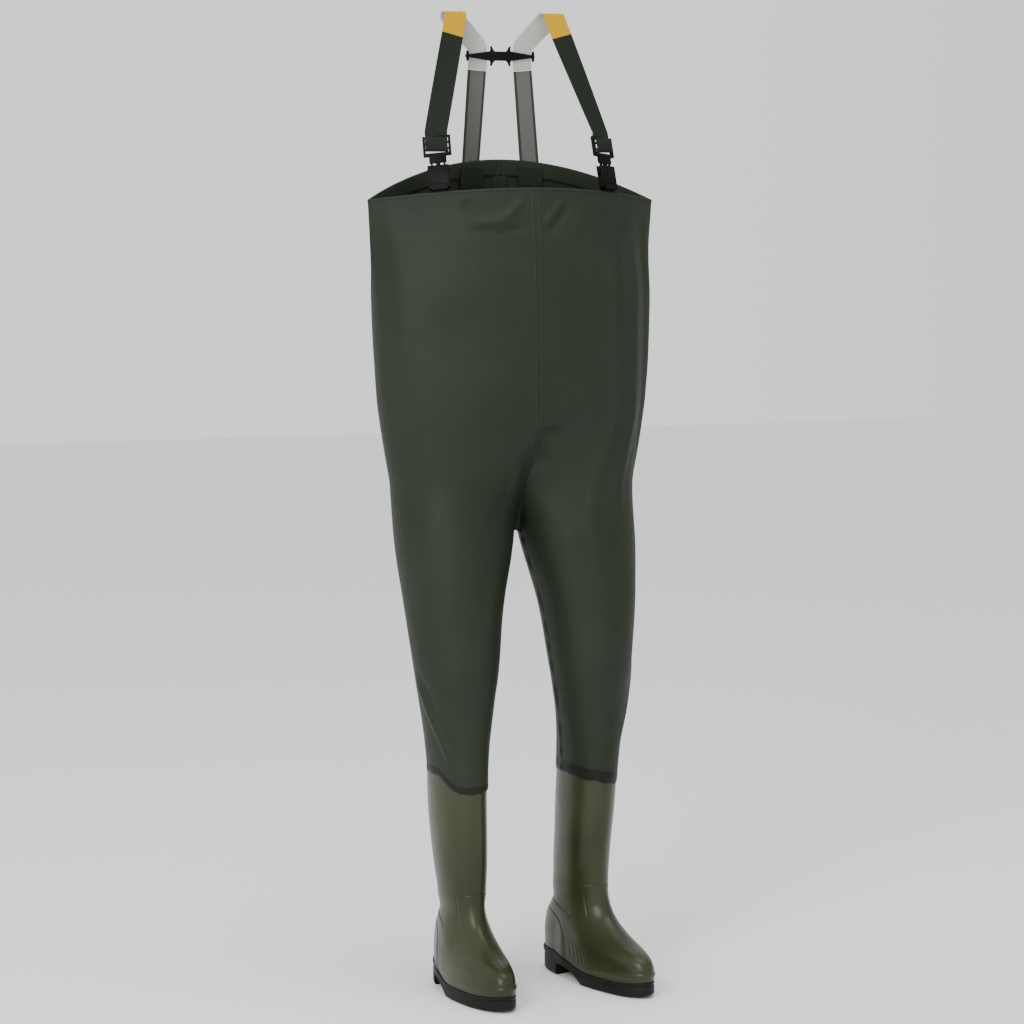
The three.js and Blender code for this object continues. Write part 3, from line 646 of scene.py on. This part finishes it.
def boot_relief(angle, h, points):
    y, c = points[..., 1], np.cos(angle)
    # mould line over the toe and instep, and up the back of the shaft
    toe_line = np.exp(-((np.sin(angle) * 60 / 1.1) ** 2))
    in_front = 0.55 * (1 - smooth(h, 60, 120))
    lift = toe_line * np.where(c > 0, in_front, 0.4 * smooth(h, 30, 60))
    # the bead and the foxing band above the sole
    forefoot = smooth(-y, 40, 90)
    band_top = 10 + 8 * smooth(-y, 60, 150) - 3 * smooth(-y, 170, 205)
    lift += 1.5 * (1 - smooth(h, band_top - 1.2, band_top + 1.2)) * mix(0.45, 1, forefoot)
    lift += 1.1 * np.exp(-(((h - 4) / 2.2) ** 2))
    # ankle groove, high at the back
    line = 92 + 16 * smooth(y, -20, 60)
    reach = smooth(y, -22, -8)
    lift += groove(h - line, 1.5, 1.3) * reach
    lift += 0.7 * reach * smooth(line - h, 0, 3) * (1 - smooth(line - h, 3, 26))
    # heel counter, a raised shell with a rounded front edge
    shell = np.hypot((y - 80) / 92, (h - 12) / 76)
    lift += 0.9 * (1 - smooth(shell, 0.96, 1.0)) + groove((shell - 1.01) * 80, 1.3, 0.7)
    # ribs in the waist of the boot
    ribbed = smooth(y, -78, -70) * (1 - smooth(y, -30, -22))
    ribbed *= smooth(h, 14, 18) * (1 - smooth(h, 46, 54))
    lift += 0.5 * ribbed * np.cos(y * 2 * np.pi / 5.2)
    # shin panel above the instep
    girth = np.degrees(np.abs(np.arctan2(np.sin(angle), c)))
    lift += groove(h - 150, 1.1, 0.8) * (1 - smooth(girth, 44, 48))
    lift += groove((girth - 47) * 0.75, 1.1, 0.8) * smooth(h, 92, 98) * (1 - smooth(h, 148, 152))
    lift += 0.35 * (1 - smooth(girth, 44, 47)) * smooth(h, 96, 104) * (1 - smooth(h, 147, 150))
    # keel of the instep
    lift += 2.2 * np.exp(-((girth / 17) ** 2)) * smooth(h, 62, 84) * (1 - smooth(h, 112, 150))
    # soft set of the ankle
    lift -= 1.6 * np.exp(-(((h - 118 - 10 * c) / 12) ** 2)) * smooth(girth, 24, 70)
    lift += 1.1 * np.exp(-(((h - 141 - 8 * c) / 10) ** 2)) * smooth(girth, 30, 80)
    return lift


def boot_material(name, dark, light, low, high, gloss):
    """Glossy PVC with a slow drift of tone and a faint ripple."""
    material, nodes, links, principled = shader(name, light, low)
    principled.inputs["Specular IOR Level"].default_value = gloss
    coords = nodes.new("ShaderNodeTexCoord")
    color = mottled(nodes, links, coords.outputs["Object"], 9, 3, (dark, light))
    links.new(color, principled.inputs["Base Color"])
    scuffs = node(nodes, "ShaderNodeTexNoise", scale=48, detail=6)
    links.new(coords.outputs["Object"], scuffs.inputs["Vector"])
    rough = node(nodes, "ShaderNodeMapRange")
    rough.inputs["To Min"].default_value = low
    rough.inputs["To Max"].default_value = high
    links.new(scuffs.outputs["Fac"], rough.inputs["Value"])
    links.new(rough.outputs["Result"], principled.inputs["Roughness"])
    ripple = node(nodes, "ShaderNodeTexNoise", scale=26, detail=2)
    links.new(coords.outputs["Object"], ripple.inputs["Vector"])
    bump = node(nodes, "ShaderNodeBump", strength=0.12, distance=0.002)
    links.new(ripple.outputs["Fac"], bump.inputs["Height"])
    links.new(bump.outputs["Normal"], principled.inputs["Normal"])
    return material


boot_pvc = boot_material("olive_boot_pvc", (0.0195, 0.0225, 0.0075), (0.031, 0.034, 0.012), 0.26, 0.40, 0.29)
sole_pvc = boot_material("black_sole_pvc", (0.0045, 0.0045, 0.0035), (0.008, 0.008, 0.006), 0.5, 0.66, 0.18)
felt = boot_material("grey_felt", (0.16, 0.16, 0.15), (0.24, 0.24, 0.22), 0.85, 0.98, 0.1)


def face_outward(mesh):
    built = bmesh.new()
    built.from_mesh(mesh)
    bmesh.ops.recalc_face_normals(built, faces=built.faces)
    built.to_mesh(mesh)
    built.free()


def ring_solid(name, rings):
    """A closed solid lofted through rings of points, capped with fans."""
    count = len(rings[0])
    vertices = [tuple(p) for ring in rings for p in ring]
    faces = []
    for r in range(len(rings) - 1):
        for i in range(count):
            j = (i + 1) % count
            faces.append((r * count + i, r * count + j, (r + 1) * count + j, (r + 1) * count + i))
    for r, up in ((0, False), (len(rings) - 1, True)):
        centre = np.mean(np.array(rings[r]), axis=0)
        vertices.append(tuple(centre))
        hub = len(vertices) - 1
        for i in range(count):
            j = (i + 1) % count
            a, b = r * count + i, r * count + j
            faces.append((a, b, hub) if up else (b, a, hub))
    mesh = bpy.data.meshes.new(name)
    mesh.from_pydata(vertices, [], faces)
    face_outward(mesh)
    return new_piece(name, mesh)


def cut_away(piece, cutter):
    bite = piece.modifiers.new("bite", "BOOLEAN")
    bite.operation = "DIFFERENCE"
    bite.solver = "EXACT"
    bite.object = cutter
    apply_modifiers(piece)
    bpy.data.objects.remove(cutter)


def smooth_by_angle(piece, degrees):
    choose(piece)
    bpy.ops.object.shade_smooth_by_angle(angle=math.radians(degrees))


BOOT_WALL = 0.0028
WELT = 4.5
KICK_LEDGE = 8
# (share of the sole's thickness, how far its edge stands out)
SOLE_EDGE = [
    (0, 1.2),
    (0.04, 3.2),
    (0.12, WELT),
    (0.62, WELT),
    (0.70, WELT - 1.2),
    (0.76, WELT - 1.2),
    (0.82, WELT),
    (0.95, WELT),
    (1, WELT - 1),
]
SOLE_RING = np.linspace(0, 2 * np.pi, 220, endpoint=False)
ARCH_REACH = 90  # to each side, past the edge of the sole
ARCH = [(-22, -2), (-20, 22), (4, 22), (20, 20), (38, 15), (52, 9), (61, 4), (66, -2)]


def boot_shell(side_name):
    rows = [np.linspace(0, 60, 60), np.linspace(61, 160, 84), np.linspace(162, BOOT_RIM, 60)]
    angle, h = np.meshgrid(np.linspace(0, 2 * np.pi, 361), np.concatenate(rows))
    points = boot_surface(angle, h)
    points = points - surface_normals(points) * boot_relief(angle, h, points)[..., None]
    points[:, -1] = points[:, 0]
    uv = np.stack([angle * 0.045, h * MM], -1)
    points = boot_placed(points, h, side_name)
    name = f"{side_name}_boot_shell"
    return add_grid(name, points, range(len(h)), SIDES[side_name] > 0, uv, BOOT_WALL)


def boot_tread(side_name):
    """The sole and heel block, with the arch cut out between them."""
    rings = []
    for share, grow in SOLE_EDGE:
        heel = grow + (KICK_LEDGE - WELT) * float(smooth(share, 0.6, 0.8))
        ring = boot_surface(SOLE_RING, np.zeros(SOLE_RING.shape), grow, heel)
        ring[:, 2] = mix(toe_spring(ring[:, 1]), ring[:, 2] + 1.0, share)
        rings.append(ring)
    sole = ring_solid(f"{side_name}_boot_tread", rings)
    cut_away(sole, ring_solid("arch", [[(x, -y, z) for y, z in ARCH] for x in (-ARCH_REACH, ARCH_REACH)]))
    side = SIDES[side_name]
    sole.data.transform(Matrix.Rotation(SPLAY[side_name], 4, "Z"))
    sole.data.transform(Matrix.Translation((ANKLE_X, ANKLE_Y + BODY_Y / MM, SOLE_Z / MM)))
    sole.data.transform(Matrix.Diagonal((side * MM, MM, MM, 1)))
    if side < 0:
        sole.data.flip_normals()
    smooth_by_angle(sole, 30)
    return sole


def refinish(node_name, material):
    """A kept shape gets its own finish."""
    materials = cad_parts[node_name].data.materials
    materials.clear()
    materials.append(material)


for side_name in SIDES:
    lower_leg = f"{side_name}_lower_leg"
    dress(boot_shell(side_name), boot_pvc, "boot_pvc", lower_leg, f"{side_name}_boot_upper")
    dress(boot_tread(side_name), sole_pvc, "sole_pvc", lower_leg, f"{side_name}_boot_outsole")
    refinish(f"{side_name}_boot_insole", felt)

# ---------------------------------------------------------------- hem and seam tapes
# The top edge is folded over inside and welded flat. A strip of the same cloth backs
# the centre seam at the front and the back.
HEM_DEPTH = 28
# (how far in from the face of the cloth, how far below the top edge)
HEM_PATH = [
    (-0.5, 3.6),
    (-0.75, 1.6),
    (-0.55, 0.1),
    (0.5, -0.7),
    (1.7, -0.5),
    (2.3, 0.8),
    (2.5, 3),
    (2.6, 12),
    (2.6, 22),
    (2.5, 26),
    (1.9, HEM_DEPTH),
    (1.3, HEM_DEPTH),
]

for side_name, side in SIDES.items():
    around, row = np.meshgrid(columns(), np.arange(len(HEM_PATH)))
    inset, drop = np.moveaxis(np.array(HEM_PATH)[row], -1, 0)
    top = top_height(around)
    height = top - np.clip(drop, 0, None)
    points = suit_surface(around, height)
    evenly = suit_surface(around, top - 0.5 * HEM_DEPTH * row / len(HEM_PATH))
    points += surface_normals(evenly) * (relief(around, height, side_name) - inset)[..., None]
    points[..., 2] += np.clip(-drop, 0, None)
    points[:, 0, 0] = 0
    points[:, -1, 0] = 0
    uv = cloth_uv(around, height)
    hem = add_grid(f"{side_name}_top_hem", placed(points, side), [], side < 0, uv)
    dress(hem, suit_cloth, "suit_fabric", "bib", "chest_hem")
    cloth[side_name].append(hem)

TAPE_SHARE = 0.016  # half the tape's width, as a share of the way round
TAPE_WALL = 0.0006
TAPE_INSET = 1.5
TAPE_FOOT = 880
UNDER_HEM = 7  # how far the tape runs up under the hem

for place in ("front", "back"):
    for side_name, side in SIDES.items():
        reach = np.linspace(0, TAPE_SHARE, 7)
        reach = reach if place == "front" else 1 - reach
        around, share = np.meshgrid(reach, np.linspace(0, 1, 90))
        height = mix(top_height(around) - HEM_DEPTH + UNDER_HEM, TAPE_FOOT, share)
        points = suit_surface(around, height)
        outward = surface_normals(points) * (1 if place == "front" else -1)
        points += outward * (relief(around, height, side_name) - TAPE_INSET)[..., None]
        points[:, 0, 0] = 0
        name = f"{side_name}_{place}_seam_backing"
        tape = add_grid(name, placed(points, side), [], side > 0, cloth_uv(around, height), TAPE_WALL)
        dress(tape, suit_cloth, "suit_fabric", "bib", f"{place}_seam_tape")

# Each brace patch gets the darker patch cloth.
for side_name, (upper, lower, hem) in cloth.items():
    refinish(f"{side_name}_brace_patch", patch_cloth)

# ---------------------------------------------------------------- braces
# Woven webbing with raised selvedges. The shoulder piece is yellow outside and
# off-white inside; the back pieces are grey elastic with dark edges.
WEB_HALF = 19
BACK_HALF = 17
WEB_THICK = 1.6
SELVEDGE_FROM = 0.0122  # metres from the middle of the elastic


def webbing(name, dark, light, edge=None, ribs=420):
    """Plain weave between two tones, with a darker selvedge where an edge colour is given."""
    material, nodes, links, principled = shader(name, light, 0.82)
    principled.inputs["Specular IOR Level"].default_value = 0.2
    coords = nodes.new("ShaderNodeTexCoord")
    along = node(nodes, "ShaderNodeTexWave", scale=ribs, distortion=0.6, detail=2)
    along.bands_direction = "Y"
    across = node(nodes, "ShaderNodeTexWave", scale=ribs * 0.6, distortion=0.8, detail=2)
    links.new(coords.outputs["UV"], along.inputs["Vector"])
    links.new(coords.outputs["UV"], across.inputs["Vector"])
    weave = node(nodes, "ShaderNodeMath", operation="MULTIPLY")
    links.new(along.outputs["Fac"], weave.inputs[0])
    links.new(across.outputs["Fac"], weave.inputs[1])
    tone = nodes.new("ShaderNodeValToRGB")
    tone.color_ramp.elements[0].color = (*dark, 1)
    tone.color_ramp.elements[1].color = (*light, 1)
    links.new(weave.outputs[0], tone.inputs["Fac"])
    color = tone.outputs["Color"]
    if edge:
        parts = nodes.new("ShaderNodeSeparateXYZ")
        links.new(coords.outputs["UV"], parts.inputs[0])
        size = node(nodes, "ShaderNodeMath", operation="ABSOLUTE")
        links.new(parts.outputs["X"], size.inputs[0])
        border = nodes.new("ShaderNodeMapRange")
        border.inputs["From Min"].default_value = SELVEDGE_FROM - 0.0006
        border.inputs["From Max"].default_value = SELVEDGE_FROM + 0.0006
        links.new(size.outputs[0], border.inputs["Value"])
        blend = nodes.new("ShaderNodeMixRGB")
        blend.inputs["Color2"].default_value = (*edge, 1)
        links.new(border.outputs["Result"], blend.inputs["Fac"])
        links.new(color, blend.inputs["Color1"])
        color = blend.outputs["Color"]
    links.new(color, principled.inputs["Base Color"])
    bump = node(nodes, "ShaderNodeBump", strength=0.5, distance=0.0004)
    links.new(weave.outputs[0], bump.inputs["Height"])
    links.new(bump.outputs["Normal"], principled.inputs["Normal"])
    return material


green_web = webbing("dark_green_webbing", (0.007, 0.010, 0.006), (0.013, 0.017, 0.011))
yellow_web = webbing("yellow_webbing", (0.46, 0.25, 0.001), (0.58, 0.32, 0.002))
white_web = webbing("off_white_webbing", (0.40, 0.40, 0.37), (0.50, 0.50, 0.47))
grey_web = webbing("grey_elastic", (0.10, 0.10, 0.09), (0.15, 0.15, 0.14), (0.035, 0.036, 0.033), 300)
thread = webbing("grey_thread", (0.07, 0.07, 0.065), (0.10, 0.10, 0.095))


def rounded_path(points, rounding):
    """Close steps along straight spans with the corners rounded, and where each step lies."""
    p = np.array(points, float)
    lengths = np.concatenate([[0], np.cumsum(np.linalg.norm(np.diff(p, axis=0), axis=1))])
    steps = np.linspace(0, lengths[-1], max(12, int(lengths[-1] / 1.4)))
    dense = np.linspace(-12, lengths[-1] + 12, 4000)
    line = np.stack([np.interp(dense, lengths, p[:, i]) for i in range(3)], -1)
    before, after = dense < 0, dense > lengths[-1]
    line[before] += (p[1] - p[0]) / lengths[1] * dense[before][:, None]
    last_step = (p[-1] - p[-2]) / (lengths[-1] - lengths[-2])
    line[after] += last_step * (dense[after] - lengths[-1])[:, None]
    weight = np.exp(-(((steps[:, None] - dense[None, :]) / rounding) ** 2))
    weight /= weight.sum(axis=1, keepdims=True)
    return weight @ line, np.interp(steps, lengths, np.arange(len(p)))


# (share of the half width, share of the thickness): the selvedges are a little fuller.
WEB_EDGE = [(1, 0.28), (0.985, 0.8), (0.95, 1.12), (0.9, 1.12), (0.86, 1), (0.6, 1), (0.3, 1), (0, 1)]
WEB_SECTION = [(-u, t) for u, t in WEB_EDGE[:-1]] + WEB_EDGE[::-1]
ROUNDING = 2.0


def ribbon(name, path, halves, turns, side, outer, inner, thick=WEB_THICK):
    """Webbing along a path; each path point has a half width and a turn about the upright."""
    spine, spans = rounded_path(path, ROUNDING)
    half = np.interp(spans, range(len(path)), halves)
    turn = np.interp(spans, range(len(path)), turns)
    along = np.gradient(spine, axis=0)
    along /= np.linalg.norm(along, axis=1, keepdims=True)
    across = np.stack([np.cos(turn), np.sin(turn), np.zeros(len(turn))], -1)
    across -= along * np.sum(along * across, axis=1, keepdims=True)
    across /= np.linalg.norm(across, axis=1, keepdims=True)
    face = np.cross(across, along)
    gone = np.concatenate([[0], np.cumsum(np.linalg.norm(np.diff(spine, axis=0), axis=1))])
    half_thick = thick / 2
    loop = [(u, t * half_thick) for u, t in WEB_SECTION]
    loop += [(u, -t) for u, t in loop[::-1]]
    count = len(loop)
    vertices, spots = [], []
    for i in range(len(spine)):
        for u, t in loop:
            vertices.append(spine[i] + across[i] * half[i] * u + face[i] * t)
            spots.append((u * half[i] * MM, gone[i] * MM))
    faces = []
    for i in range(len(spine) - 1):
        for k in range(count):
            j = (k + 1) % count
            faces.append((i * count + k, i * count + j, (i + 1) * count + j, (i + 1) * count + k))
    faces.append(tuple(range(count)))
    faces.append(tuple(range((len(spine) - 1) * count, len(spine) * count)))
    mesh = bpy.data.meshes.new(name)
    mesh.from_pydata(placed(np.array(vertices), side).tolist(), [], faces)
    lay_uv(mesh, np.array(spots))
    mesh.materials.append(outer)
    mesh.materials.append(inner)
    on_outer = len(WEB_SECTION) - 1
    for number, polygon in enumerate(mesh.polygons[: (len(spine) - 1) * count]):
        polygon.material_index = 0 if number % count < on_outer else 1
    face_outward(mesh)
    piece = new_piece(name, mesh)
    smooth_by_angle(piece, 50)
    return piece


def hang(piece, body, stands_for):
    """What a piece of webbing rides on and replaces."""
    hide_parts(stands_for)
    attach(piece, body)


STITCHES = 12
STITCH_LENGTH = 2.0
STITCH_RADIUS = 0.38


def stitch_row(name, middle, half_row, up, side):
    """A row of stitches across the webbing, on a face whose outward direction is up."""
    up = Vector(up).normalized()
    first = Vector(middle) - Vector(half_row)
    step = Vector(half_row) * 2 / STITCHES
    along = step.normalized()
    sideways = along.cross(up).normalized()
    axes = (along * STITCH_LENGTH / 2, sideways * STITCH_RADIUS, up * STITCH_RADIUS)
    basis = Matrix(axes).transposed().to_4x4()
    built = bmesh.new()
    for i in range(STITCHES):
        place = Matrix.Translation(first + step * (i + 0.5))
        bmesh.ops.create_icosphere(built, subdivisions=1, radius=1, matrix=place @ basis)
    for vertex in built.verts:
        x, y, z = vertex.co
        vertex.co = (x * MM * side, y * MM + BODY_Y, z * MM + SOLE_Z)
    mesh = bpy.data.meshes.new(name)
    bmesh.ops.recalc_face_normals(built, faces=built.faces)
    built.to_mesh(mesh)
    built.free()
    mesh.shade_smooth()
    mesh.uv_layers.new(name="cloth")
    dress(new_piece(name, mesh), thread, "webbing_grey", "bib")


FOLD = np.array([90.0, 45.0, 1668.0])  # the top of the brace, over the shoulder
FOLD_RADIUS = 6
FOLD_FLAT = 14
BUCKLE_FOOT = np.array([153.0, -62.3, 1369.0])
BUCKLE_TURN = math.radians(25.1)
STRAP_START = 92.3
SHOULDER_LENGTH = 36
STRAP_LEAD = 8


def unit(vector):
    return vector / np.linalg.norm(vector)


buckle_axis = unit(np.array([-0.035, 0.3, 0.95]))
fold_front = FOLD + np.array([0, -FOLD_FLAT / 2 - FOLD_RADIUS, -FOLD_RADIUS])
strap_foot = BUCKLE_FOOT + buckle_axis * STRAP_START
strap_bend = strap_foot + buckle_axis * STRAP_LEAD
strap_axis = unit(fold_front - strap_bend)
strap_top = fold_front - strap_axis * SHOULDER_LENGTH
BACK_Y = FOLD[1] + FOLD_FLAT / 2 + FOLD_RADIUS
connector_point = np.array([40.0, BACK_Y + 1, 1596.0])
back_edge = np.array([54.0, BACK_Y, 1415.0])
JOIN_HEIGHT = 1572
BACK_TOP = 1414


def back_face(height, out):
    """A point outside the back panel where the brace is sewn on."""
    x = back_edge[0]
    width, _, depth = torso(float(height))
    pointed = smooth(height, 1180, SIDE_TOP)
    across = (x / width) ** (1 / mix(1, 1.25, pointed))
    y = depth * (1 - across**2) ** (mix(1, 1.82, pointed) / 2)
    return np.array([x, y + out, height])


def over_shoulder():
    """The round turn at the top of a brace, in two quarter turns with a flat between."""
    turn = []
    for centre_y, first in ((FOLD[1] - FOLD_FLAT / 2, 0), (FOLD[1] + FOLD_FLAT / 2, math.pi / 2)):
        for step in range(4):
            angle = first + step * math.pi / 6
            y = centre_y - FOLD_RADIUS * math.cos(angle)
            z = FOLD[2] - FOLD_RADIUS + FOLD_RADIUS * math.sin(angle) + WEB_THICK / 2
            turn.append([FOLD[0], y, z])
    return turn


BACK_TURN = math.radians(-9)
LAP_HEIGHTS = (BACK_TOP, 1402, 1384, 1365)  # where the elastic lies on the back panel
JOIN_SHARE = (connector_point[2] - JOIN_HEIGHT) / (connector_point[2] - back_edge[2])
LINE_SLIP = np.array([-0.04, 0, 1])  # down the elastic, per millimetre

for side_name, side in SIDES.items():
    shares = np.linspace(0, 1, 5)
    path = [strap_foot] + [mix(strap_bend, strap_top, share) for share in shares]
    turns = [BUCKLE_TURN, *(BUCKLE_TURN * (1 - shares))]
    front = ribbon(f"{side_name}_front_webbing", path, [WEB_HALF] * 6, turns, side, green_web, green_web)
    hang(front, "bib", f"{side_name}_front_brace")
    top_place = tuple(placed(strap_top[None, :].copy(), side)[0])
    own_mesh(front)

    above = connector_point + np.array([1.5, 0, 17])
    join = mix(connector_point, back_edge, JOIN_SHARE)
    path = [strap_top + strap_axis * 0.3, *over_shoulder(), above, connector_point, join]
    halves = [WEB_HALF] * 9 + [BACK_HALF] * 3
    name = f"{side_name}_shoulder_webbing"
    shoulder = ribbon(name, path, halves, [0] * 12, side, yellow_web, white_web)
    hang(shoulder, "bib", f"{side_name}_shoulder_brace")

    start = mix(connector_point, back_edge, JOIN_SHARE + 0.004)
    lap = [back_face(height, WEB_THICK / 2 + 1.0) for height in LAP_HEIGHTS]
    path = [start, mix(start, lap[0], 0.5), *lap]
    turns = [0, BACK_TURN / 2] + [BACK_TURN] * 4
    back = ribbon(f"{side_name}_back_elastic", path, [BACK_HALF] * 6, turns, side, grey_web, grey_web)
    hang(back, "bib", f"{side_name}_back_brace")

    for number, drop in enumerate((3.5, 8.0)):
        for facing, face_name in ((-1, "in"), (1, "out")):
            middle = start - LINE_SLIP * drop + np.array([0, facing * (WEB_THICK / 2 + 0.1), 0])
            name = f"{side_name}_join_stitch_{number}_{face_name}"
            stitch_row(name, middle, (15, 0, 0), (0, facing, 0), side)
    for number, drop in enumerate((6, 40)):
        middle = back_face(BACK_TOP - drop, WEB_THICK + 1.2)
        name = f"{side_name}_back_stitch_{number}"
        stitch_row(name, middle, (15, -2.3, 0), (0.15, 1, 0), side)

# ---------------------------------------------------------------- buckles
# Moulded side-release buckles and the cross connector: crisp black plastic with
# softened edges. The tail of each front brace turns round the adjuster's bars.
plastic = boot_material("black_acetal", (0.0022, 0.0022, 0.0020), (0.0038, 0.0038, 0.0034), 0.4, 0.55, 0.1)


def moulded(new_name, node_name, body, round_off):
    """A softened copy of a machined shape, with its flat faces whole again."""
    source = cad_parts[node_name]
    mesh = source.data.copy()
    mesh.transform(source.matrix_world)
    piece = new_piece(new_name, mesh)
    built = bmesh.new()
    built.from_mesh(mesh)
    bmesh.ops.remove_doubles(built, verts=built.verts, dist=0.00002)
    bmesh.ops.dissolve_limit(built, angle_limit=math.radians(3), verts=built.verts, edges=built.edges)
    built.to_mesh(mesh)
    built.free()
    bevel = piece.modifiers.new("edges", "BEVEL")
    bevel.width = round_off
    bevel.segments = 2
    bevel.limit_method = "ANGLE"
    bevel.angle_limit = math.radians(25)
    apply_modifiers(piece)
    smooth_by_angle(piece, 40)
    dress(piece, plastic, "buckle_plastic", body, node_name)


lean_turn = Vector((0, 0, 1)).rotation_difference(Vector(buckle_axis)).to_matrix()
across_strap = np.array(lean_turn @ Vector((math.cos(BUCKLE_TURN), math.sin(BUCKLE_TURN), 0)))
inward = np.cross(buckle_axis, across_strap)
# (inward of the buckle's plane, up from its foot), down the back of the bars and round
TURN_PATH = [
    (1.6, 97),
    (0.4, 92),
    (-3.0, 87),
    (-5.0, 83),
    (-5.2, 77),
    (-5.0, 71),
    (-3.6, 66.4),
    (-0.4, 64.6),
    (2.6, 66.5),
]
TURN_HALF = WEB_HALF - 0.3
TURN_THICK = 1.3

for side_name, side in SIDES.items():
    tongue = f"{side_name}_buckle_tongue"
    moulded(f"{side_name}_buckle_socket", f"{side_name}_buckle_female", "bib", 0.0007)
    moulded(f"{side_name}_buckle_ladder", f"{side_name}_buckle_male", tongue, 0.0005)
    for which in ("outer", "inner"):
        prong = f"{side_name}_{which}_prong"
        moulded(f"{side_name}_{which}_latch", f"{side_name}_buckle_prong_{which}", prong, 0.0006)
    path = [BUCKLE_FOOT + buckle_axis * z + inward * y for y, z in TURN_PATH]
    halves, turns = [TURN_HALF] * len(path), [BUCKLE_TURN] * len(path)
    name = f"{side_name}_adjuster_web"
    turned = ribbon(name, path, halves, turns, side, green_web, green_web, TURN_THICK)
    hang(turned, tongue, f"{side_name}_adjuster_turn")
    refinish(f"{side_name}_buckle_tab", plastic)
moulded("brace_connector", "cross_connector", "cross_connector", 0.0006)
